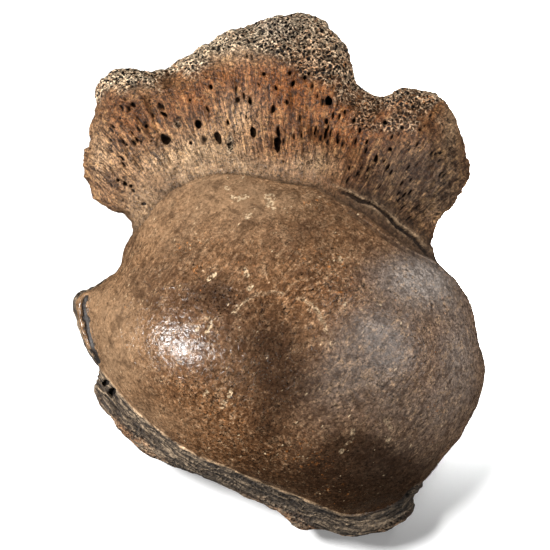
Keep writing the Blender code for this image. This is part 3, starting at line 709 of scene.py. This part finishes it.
# %% A finish that makes nodes
class Finish:
    """A material and the nodes that make it."""

    def __init__(self, name):
        self.material = bpy.data.materials.new(name)
        self.material.use_nodes = True
        self.tree = self.material.node_tree
        self.shader = self.tree.nodes["Principled BSDF"]

    def add(self, kind, settings=(), values=()):
        """A node of any kind: its settings first, then the values or wires of its sockets."""
        node = self.tree.nodes.new(kind)
        for name, setting in dict(settings).items():
            setattr(node, name, setting)
        for name, value in dict(values).items():
            self.feed(node.inputs[name], value)
        return [Wire(self, socket) for socket in node.outputs]

    def feed(self, socket, value):
        """Link a wire to a socket, or set the socket to a value."""
        if isinstance(value, Wire):
            self.tree.links.new(value.socket, socket)
        else:
            socket.default_value = value

    def mask(self, name):
        """A mask stored on the skin."""
        return self.add("ShaderNodeAttribute", {"attribute_name": name})[2]

    def noise(self, where, size, detail=3.0, rough=0.55, warp=0.0):
        """Noise from 0 to 1 with lumps of the given size, in millimetres."""
        values = {"Vector": where, "Scale": 1 / size, "Detail": detail}
        values.update({"Roughness": rough, "Distortion": warp})
        return self.add("ShaderNodeTexNoise", {}, values)[0]

    def cells(self, where, size, feature="F1"):
        """The distance pattern of scattered cells of the given size, in millimetres."""
        values = {"Vector": where, "Scale": 1 / size}
        return self.add("ShaderNodeTexVoronoi", {"feature": feature}, values)[0]

    def blend(self, share, under, over, way="MIX"):
        """One colour laid over another by a share."""
        settings = {"data_type": "RGBA", "blend_type": way}
        return self.add("ShaderNodeMix", settings, {0: share, 6: under, 7: over})[2]

    def scaled(self, where, x, y, z):
        """A place with its three directions stretched by their own amounts."""
        return self.add("ShaderNodeVectorMath", {"operation": "MULTIPLY"}, {0: where, 1: (x, y, z)})[0]


def paint(red, green, blue):
    """A colour given in the 0 to 255 numbers of a picture, as the shader's own linear numbers."""
    return (*[((v / 255 + 0.055) / 1.055) ** 2.4 for v in (red, green, blue)], 1.0)


finish = Finish("fossil_bone")
print("the finish is called", finish.material.name)

# %% [markdown]
# ## Where a pattern sits
#
# Three sets of coordinates carry the patterns. Millimetres of the bone itself serve clouds, speckle and
# sponge. The stored rays serve grain: squeezed along their length, any noise turns into fibres that run
# out from the ball. The stored edge lines do the same for the layers of the wall. An unwrapped skin
# would have seams, and these have none. All belong to the bone, so nothing slides when the camera
# moves.

# %% Coordinates and masks
STREAK_LEAN = math.radians(-48)

in_metres = finish.add("ShaderNodeTexCoord")[3]
on_bone = finish.scaled(in_metres, 1000, 1000, 1000)
ray_place = finish.add("ShaderNodeAttribute", {"attribute_name": "rays"})[1]
fibres = finish.scaled(ray_place, 1.0, 0.16, 0.16)
soft_fibres = finish.scaled(ray_place, 1.0, 0.45, 0.45)

on_ball = finish.mask("ball")
on_crest = finish.mask("crest")
on_wall = finish.mask("wall")
on_sole = finish.mask("sole")
sunk_in = finish.mask("sunk")

lean = {"Vector": on_bone, "Angle": STREAK_LEAN}
turned = finish.add("ShaderNodeVectorRotate", {"rotation_type": "Z_AXIS"}, lean)[0]
streak = finish.noise(finish.scaled(turned, 0.2, 1.0, 0.6), 1.5, detail=4.0, rough=0.65, warp=0.8)
dashes = finish.noise(finish.scaled(turned, 0.4, 1.0, 0.8), 1.5, detail=1.5, rough=0.5)
grit = finish.noise(on_bone, 1.5, detail=4.0, rough=0.8, warp=0.3)
speck = finish.noise(on_bone, 1.2, detail=2.0, rough=0.6)
wrinkle = finish.noise(on_bone, 2.4, detail=4.0, rough=0.72, warp=1.2)
mottle = finish.noise(on_bone, 5.5, detail=5.0, rough=0.68, warp=0.5)
drift = finish.noise(on_bone, 18.0, detail=5.0, rough=0.62)
fleck = finish.noise(on_bone, 2.1, detail=3.0, rough=0.7)
creases = finish.noise(on_bone, 3.4, detail=3.0, rough=0.6, warp=1.5).near(0.5, 0.035)
print("places and noises took", len(finish.tree.nodes), "nodes")

# %% [markdown]
# ## The ball's colour
#
# Handled and waxed for years, the joint surface is a brown mottled at every size: broad drifts,
# finger-sized clouds and fine speckle. It could be painted by hand. Here layers of colour go on from
# the broadest to the finest, as a painter would glaze it, so each size can be changed by itself.

# %% Ball paints and how much they vary
BALL_BROWN = paint(122, 88, 60)
BALL_SHADE = paint(92, 65, 45)
BALL_DARK = paint(46, 30, 19)
BALL_PALE = paint(162, 131, 100)
BALL_RUST = paint(120, 80, 48)
BALL_GREY = paint(108, 97, 88)
# The colour of the painted sheen on the ball's right side.
PAINTED_SHEEN_GREY = paint(170, 160, 152)
PALE_SCUFF = paint(222, 196, 158)
FRESH_RUST = paint(190, 118, 58)
DARK_SPECK = paint(26, 18, 12)


def broken(mask, by, amount):
    """A mask whose edge and strength are broken up by a noise."""
    return (finish.mask(mask) * (1 - amount) + finish.mask(mask) * by * (2 * amount)).held()


def glaze(colour, *coats):
    """A colour with coats laid over it one by one, each given as its share and its colour."""
    for share, over in coats:
        colour = finish.blend(share, colour, over)
    return colour


uneven = (1 - finish.mask("pale") * 0.45) * (0.55 + drift * 0.9) * (1 + finish.mask("rusty") * 0.6)
uneven = uneven * (0.3 + mottle.between(0.35, 0.65) * 0.5 + wrinkle.between(0.3, 0.7) * 0.6)
not_dark = (1 - finish.mask("dark") * 0.75).held()
print("ball brown in the shader's numbers:", [round(part, 3) for part in BALL_BROWN])

# %% Ball colours, broad to fine
ball_colour = finish.blend(drift.between(0.38, 0.62), BALL_SHADE, BALL_BROWN)
ball_colour = glaze(
    ball_colour,
    (broken("grey", mottle, 0.5) * 0.7, BALL_GREY),
    (broken("pale", mottle, 0.5) * 0.52, BALL_PALE),
    (broken("rusty", mottle, 0.6) * 0.7, BALL_RUST),
    # Painted sheen of the right-hand lights.
    (broken("silver", wrinkle, 0.6) * 0.7, PAINTED_SHEEN_GREY),
    (broken("dark", mottle, 0.5) * 0.85, BALL_DARK),
    (mottle.between(0.52, 0.66) * not_dark * 0.35, BALL_PALE),
    ((1 - mottle).between(0.51, 0.62) * 0.5, BALL_DARK),
    (wrinkle.between(0.54, 0.64) * uneven * not_dark * 0.45, BALL_PALE),
    ((1 - wrinkle).between(0.52, 0.62) * uneven * 0.6, BALL_DARK),
    (streak.between(0.55, 0.66) * uneven * not_dark * 0.5, BALL_PALE),
    ((1 - streak).between(0.54, 0.64) * uneven * 0.55, BALL_DARK),
    (creases * uneven * 0.4, DARK_SPECK),
    ((1 - speck).between(0.62, 0.70) * uneven * 0.6, DARK_SPECK),
)
scuffs = dashes.between(0.70, 0.76) * mottle.between(0.4, 0.6) * 0.7
ball_colour = finish.blend(scuffs, ball_colour, PALE_SCUFF)
rust_flecks = fleck.between(0.66, 0.74) * speck.between(0.5, 0.6) * 0.8
ball_colour = finish.blend(rust_flecks, ball_colour, FRESH_RUST)
print("the ball's clouds and speckle took", len(finish.tree.nodes), "nodes with what went before")

# %% Scuffs, crumbs and scratches
crumbs = finish.mask("crumbs")
ball_colour = glaze(
    ball_colour,
    ((1 - fleck).between(0.54, 0.62) * crumbs * 0.5, DARK_SPECK),
    (fleck.between(0.59, 0.66) * crumbs * 0.65, FRESH_RUST),
)
pale_crumbs = speck.between(0.62, 0.68) * fleck.between(0.45, 0.55) * crumbs * 0.7
ball_colour = finish.blend(pale_crumbs, ball_colour, PALE_SCUFF)
faint_lines = finish.mask("arc") * wrinkle.between(0.40, 0.6) * 0.45
ball_colour = finish.blend(faint_lines, ball_colour, PALE_SCUFF)
scratches = finish.mask("scratch") * speck.between(0.40, 0.56) * 0.65
ball_colour = finish.blend(scratches, ball_colour, PALE_SCUFF)
print("the ball is done at", len(finish.tree.nodes), "nodes")

# %% [markdown]
# ## The neck's colour
#
# The bark is warmer than the ball: rusty between pale fibres, and greyer and darker on the right-hand
# lobe, with fine dark pits. A plain mottle would make it look like felt, so the colour follows the same
# rays as the relief, and ridge and tint run the same way: the fibre tops are painted light and the gaps
# and fine lines between them painted shade.

# %% Neck paints and fibres
NECK_SHADE = paint(112, 70, 40)
NECK_BROWN = paint(162, 112, 70)
NECK_RUST = paint(138, 78, 30)
NECK_PALE = paint(206, 160, 108)
NECK_BEIGE = paint(224, 188, 148)
NECK_DARK = paint(56, 33, 17)
LOBE_GREY = paint(116, 99, 82)

granular = finish.mask("near_crest")
strands = finish.noise(fibres, 1.5, detail=4.0, rough=0.7, warp=0.8)
strands = strands * (1 - granular * 0.6) + wrinkle * granular * 0.6
fibre_lines = finish.noise(fibres, 2.2, detail=2.0, rough=0.6, warp=1.2).near(0.5, 0.05)
broad_strands = finish.noise(soft_fibres, 6.0, detail=4.0, rough=0.65, warp=0.5)
rusty_zone = broken("rusty", broad_strands, 0.4)
calm = 1 - finish.mask("near_ball") * 0.6
print("the fibres end at", len(finish.tree.nodes), "nodes")

# %% Neck colours, broad to fine
neck_colour = finish.blend(broad_strands.between(0.38, 0.60), NECK_SHADE, NECK_BROWN)
neck_colour = glaze(
    neck_colour,
    ((rusty_zone * 0.95).held(), NECK_RUST),
    (broken("pale", broad_strands, 0.5) * 0.85, NECK_BEIGE),
    (broken("grey", broad_strands, 0.3) * 0.8, LOBE_GREY),
    (broken("dark", mottle, 0.3) * 0.7, NECK_DARK),
)
# Painted light on the fibre tops and painted shade in the gaps and fine lines between them.
painted_fibre_light = (0.6 - rusty_zone * 0.2 - finish.mask("grey") * 0.25).held() * calm
neck_colour = glaze(
    neck_colour,
    (strands.between(0.53, 0.63) * painted_fibre_light, NECK_PALE),
    ((1 - strands).between(0.50, 0.58) * calm * 0.75, NECK_DARK),
    ((1 - mottle).between(0.51, 0.62) * 0.4, NECK_DARK),
    (mottle.between(0.53, 0.66) * 0.22, NECK_PALE),
    (fibre_lines * calm * 0.6, NECK_DARK),
    ((1 - speck).between(0.57, 0.64) * 0.5, DARK_SPECK),
    ((1 - fleck).between(0.58, 0.64) * calm * 0.75, DARK_SPECK),
)
glint_share = strands.between(0.46, 0.60) * (0.6 - finish.mask("grey") * 0.4).held()
neck_colour = finish.blend(speck.between(0.58, 0.70) * glint_share, neck_colour, NECK_PALE)
print("the neck is done at", len(finish.tree.nodes), "nodes")

# %% [markdown]
# ## Colours of the sponge and the layers
#
# Broken bone shows its sponge: a net of pale walls round dark pores, about two millimetres from one to
# the next, and the pores' dark is painted shade. A plain noise would give blots, but the edge distance of
# a cell pattern is just that net.
# The wall under the ball has the same sponge, older and greyer, between thin hard layers, and their
# fine lines are a noise stretched along the edge.

# %% Crest and sole colours
SPONGE_PALE = paint(255, 229, 192)
SPONGE_BROWN = paint(172, 118, 74)
SPONGE_GREY = paint(160, 148, 134)
SPONGE_RUST = paint(150, 96, 52)
SPONGE_DARK = paint(16, 11, 8)

bend = finish.add("ShaderNodeTexNoise", {}, {"Vector": on_bone, "Scale": 0.7, "Detail": 2.0})[1]
bending = {0: bend, 1: (1.6, 1.6, 1.6), 2: on_bone}
bent = finish.add("ShaderNodeVectorMath", {"operation": "MULTIPLY_ADD"}, bending)[0]
net = finish.cells(bent, 2.2, "DISTANCE_TO_EDGE")
pits = finish.mask("sponge_pits")
# Painted shade: the pores are painted nearly black, most where the skin's own pits sink in.
net_wall = (1 - net.between(0.12, 0.22)) * (0.4 + speck.between(0.42, 0.58) * 1.1)
net_wall = (net_wall * (1 - pits * 0.85)).held()

bone_tint = finish.blend(wrinkle.between(0.38, 0.56), SPONGE_BROWN, SPONGE_PALE)
bone_tint = glaze(
    bone_tint,
    (broken("pale", mottle, 0.4) * 0.6, SPONGE_PALE),
    (broken("grey", mottle, 0.4) * 0.6, SPONGE_GREY),
    (broken("rusty", mottle, 0.4) * 0.7, SPONGE_RUST),
)
crest_colour = finish.blend(net_wall, SPONGE_DARK, bone_tint)
crest_colour = finish.blend((1 - mottle).between(0.54, 0.68) * 0.5, crest_colour, SPONGE_DARK)
print("the crest is done at", len(finish.tree.nodes), "nodes")

# %% Wall colours
WALL_BROWN = paint(74, 60, 48)
WALL_PALE = paint(164, 142, 116)

edge_place = finish.add("ShaderNodeAttribute", {"attribute_name": "edge_lines"})[1]
hair_lines = finish.noise(finish.scaled(edge_place, 0.05, 1.0, 0.08), 1.0, detail=3.0, rough=0.65)
layer_share = (finish.mask("layer") * 0.35 + hair_lines.between(0.42, 0.58) * 0.75).held()
# Painted shade in the wall's pores and pits as well.
wall_net = ((1 - net.between(0.10, 0.34)) * 0.25 + layer_share * 0.8 + 0.1) * (1 - pits * 0.5)
wall_tint = finish.blend(layer_share * (0.4 + speck * 0.7), WALL_BROWN, WALL_PALE)
brown_share = finish.mask("outer_wall") * mottle.between(0.4, 0.6) * 0.6
wall_tint = finish.blend(brown_share, wall_tint, SPONGE_BROWN)
wall_colour = finish.blend(wall_net.held(), SPONGE_DARK, wall_tint)
# Along the lower edge the dark clouds here are partly painted shade.
wall_colour = finish.blend(broken("dark", mottle, 0.3) * 0.6, wall_colour, SPONGE_DARK)
print("the wall is done at", len(finish.tree.nodes), "nodes")

# %% [markdown]
# ## One finish for the whole bone
#
# The surfaces meet in soft, broken edges, where separate materials would meet in hard ones. So one
# finish blends their colours by the stored masks, and near the ball the bark takes on some of the
# ball's brown. Roughness follows: wax on the ball, dry bark, dull sponge. The relief that is too fine
# for the skin goes through one Bump node, with its height in millimetres.

# %% Colour
STRIP_BROWN = paint(66, 52, 40)
PAINTED_HOLE_SHADE = paint(18, 12, 9)

skin_share = (on_ball + finish.mask("near_ball") * 0.8 * broad_strands.between(0.25, 0.55)).held()
colour = finish.blend(skin_share, neck_colour, ball_colour)
colour = glaze(
    colour,
    (on_crest, crest_colour),
    (on_wall, wall_colour),
    (on_sole, crest_colour),
    # The strip's own brown, with painted shade in the groove round the ball.
    (finish.mask("strip") * 0.6, STRIP_BROWN),
    (finish.mask("pale_rim") * mottle.between(0.35, 0.6) * 0.7, NECK_BEIGE),
)
gritty = on_ball * (uneven * 1.3 + 0.3) + (1 - on_ball) * 1.6
colour = finish.blend(1.0, colour, 1 + (grit - 0.5) * gritty * 3.0, "MULTIPLY")
# Painted shade: holes, cracks and slits are painted nearly black.
colour = finish.blend(sunk_in.between(0.25, 0.85) * 0.95, colour, PAINTED_HOLE_SHADE)
print("the colour ends at", len(finish.tree.nodes), "nodes")

# %% Roughness
BARK_ROUGHNESS = 0.52
WAX_SMOOTHS = 0.35
SPONGE_ROUGHENS = 0.33
WALL_ROUGHENS = 0.28
GLOSSY_BARK = 0.24

on_neck = (1 - on_ball - on_crest - on_wall).held()
roughness = BARK_ROUGHNESS - on_ball * WAX_SMOOTHS + on_crest * SPONGE_ROUGHENS + on_wall * WALL_ROUGHENS
roughness = roughness + (speck - 0.5) * 0.4 - on_neck * finish.mask("pale") * GLOSSY_BARK
roughness = (roughness + (mottle - 0.5) * 0.2 + finish.mask("grey") * 0.24 + sunk_in * 0.4).held()
print("the roughness ends at", len(finish.tree.nodes), "nodes")

# %% Fine relief, in millimetres
RIPPLE_HEIGHT = 0.29
BARK_HEIGHT = 2.0
NET_HEIGHT = 1.2
LAYER_LINE_HEIGHT = 1.0

ripple = finish.noise(on_bone, 1.9, detail=1.5, rough=0.5, warp=0.8)
ball_relief = (ripple - 0.5) * RIPPLE_HEIGHT + (grit - 0.5) * uneven * 0.12
ball_relief = ball_relief + (streak - 0.5) * uneven * 0.12 - creases * 0.02
bark_relief = (strands - 0.5) * BARK_HEIGHT + (speck - 0.5) * 1.2 - fibre_lines * 0.3 + (grit - 0.5) * 0.6
sponge_relief = net_wall * NET_HEIGHT + (speck - 0.5) * 0.5
wall_relief = wall_net * LAYER_LINE_HEIGHT + (speck - 0.5) * 0.6
height = ball_relief * on_ball + bark_relief * on_neck + sponge_relief * on_crest + wall_relief * on_wall
bump = finish.add("ShaderNodeBump", {}, {"Strength": 1.0, "Distance": MM, "Height": height})[0]
print("the fine relief ends at", len(finish.tree.nodes), "nodes")

# %% Into the shader
finish.feed(finish.shader.inputs["Base Color"], colour)
finish.feed(finish.shader.inputs["Roughness"], roughness)
finish.feed(finish.shader.inputs["Normal"], bump)
finish.shader.inputs["Specular IOR Level"].default_value = 0.6

bone.data.materials.append(finish.material)
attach(bone, "root")
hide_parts("hip_bone")
print("the finish has", len(finish.tree.nodes), "nodes")

# %% [markdown]
# ## The camera
#
# The picture is taken from straight above the face of the ball with a long lens, so the outline hardly
# spreads. The camera could be placed by eye. Here it stands on the face-on axis, and its angle is
# worked out from how many millimetres the picture spans, so a pixel read off the picture falls where it
# should.

# %% Camera
to_own = Matrix.Translation(Vector(FACE_ON_ORIGIN) * MM) @ Matrix.Rotation(LIE_ANGLE, 4, "X")
camera = bpy.data.objects.new("camera", bpy.data.cameras.new("camera"))
camera.data.sensor_fit = "HORIZONTAL"
camera.data.angle = 2 * math.atan(PICTURE_SIDE * MM_PER_PIXEL / 2 / CAMERA_DISTANCE)
camera.data.clip_start = 0.05
camera.data.clip_end = 20
camera.matrix_world = to_own @ Matrix.Translation(Vector((AIM_X, 0, CAMERA_DISTANCE)) * MM)
bpy.context.scene.collection.objects.link(camera)
bpy.context.scene.camera = camera
print("the camera sees", round(math.degrees(camera.data.angle), 2), "degrees")

# %% [markdown]
# ## The floor
#
# The floor is plain and nearly white. A curved backdrop would do as well, but looking down, a flat
# plane fills the picture. It glows faintly, and it throws no light back on the bone, so the bone's own
# colours stay clean.

# %% Floor
FLOOR_GLOW = 0.15

floor_mesh = bpy.data.meshes.new("floor")
reach = 3.0
corners = [(-reach, -reach, 0), (reach, -reach, 0), (reach, reach, 0), (-reach, reach, 0)]
floor_mesh.from_pydata(corners, [], [(0, 1, 2, 3)])
floor = bpy.data.objects.new("floor", floor_mesh)
bpy.context.scene.collection.objects.link(floor)
floor.location.z = -0.0002
floor_finish = Finish("pale_floor")
floor_finish.shader.inputs["Base Color"].default_value = (0.9, 0.9, 0.9, 1)
floor_finish.shader.inputs["Roughness"].default_value = 0.9
floor_finish.shader.inputs["Specular IOR Level"].default_value = 0.0
floor_finish.shader.inputs["Emission Color"].default_value = (1, 1, 1, 1)
floor_finish.shader.inputs["Emission Strength"].default_value = FLOOR_GLOW
floor_mesh.materials.append(floor_finish.material)
floor.visible_diffuse = False
floor.visible_glossy = False
print("the floor is", 2 * reach, "m wide")

# %% [markdown]
# ## The lights
#
# Soft boxes low at the left and the right draw the two bright spots on the ball, the left one crisp,
# the right one weak. A fill on the right and a broad lamp overhead light the bone, but don't show in
# its shine. The same lamps would leave the floor grey, so light linking gives it two of its own: a
# strong one, and a narrow one towards the upper right, which clears the shadow everywhere but at the
# lower right.

# %% Lights
BONE_AIM = (3, -33, 20)
LIGHTS = {
    "left_box": {"towards": (-0.85, -0.12, 0.52), "away": 1.3, "side": 0.3, "power": 20},
    "right_box": {"towards": (0.78, 0.12, 0.62), "away": 1.3, "side": 0.4, "power": 6},
    "right_fill": {"towards": (0.88, 0.0, 0.47), "away": 1.3, "side": 0.6, "power": 7},
    "overhead": {"towards": (-0.45, 0.48, 0.75), "away": 1.6, "side": 0.6, "power": 22},
    "floor_light": {"towards": (-0.42, 0.25, 0.87), "away": 1.6, "side": 0.4, "power": 44},
    "floor_fill": {"towards": (0.35, 0.35, 0.87), "away": 0.3, "side": 0.1, "power": 0.7},
}
FILL_AIM = (105, 40, -45)
FILL_SPREAD = math.radians(40)

bone_only = bpy.data.collections.new("lit_by_the_bone_lights")
bone_only.objects.link(bone)
floor_only = bpy.data.collections.new("lit_by_the_floor_lights")
floor_only.objects.link(floor)
for name, facts in LIGHTS.items():
    lamp = bpy.data.lights.new(name, "AREA")
    lamp.shape = "DISK"
    lamp.size = facts["side"]
    lamp.energy = facts["power"]
    aim = Vector(BONE_AIM) * MM
    if name == "floor_fill":
        aim = Vector(FILL_AIM) * MM
        lamp.spread = FILL_SPREAD
    box = bpy.data.objects.new(name, lamp)
    away = Vector(facts["towards"]).normalized()
    facing_aim = away.to_track_quat("Z", "Y").to_matrix().to_4x4()
    box.matrix_world = to_own @ Matrix.Translation(aim + away * facts["away"]) @ facing_aim
    box.visible_glossy = name in ("left_box", "right_box")
    box.light_linking.receiver_collection = floor_only if name.startswith("floor") else bone_only
    bpy.context.scene.collection.objects.link(box)
    print(name, facts["power"], "W")

# %% The room's own light
ROOM_LIGHT = 0.22

world = bpy.data.worlds.new("studio")
world.use_nodes = True
background = world.node_tree.nodes["Background"]
background.inputs["Color"].default_value = (1, 1, 1, 1)
background.inputs["Strength"].default_value = ROOM_LIGHT
world.cycles_visibility.glossy = False
bpy.context.scene.world = world
bpy.context.scene.view_settings.view_transform = "Standard"
print("the room's light is", ROOM_LIGHT)

# %% [markdown]
# ## The last look
#
# The finished bone must still fit the packed box.
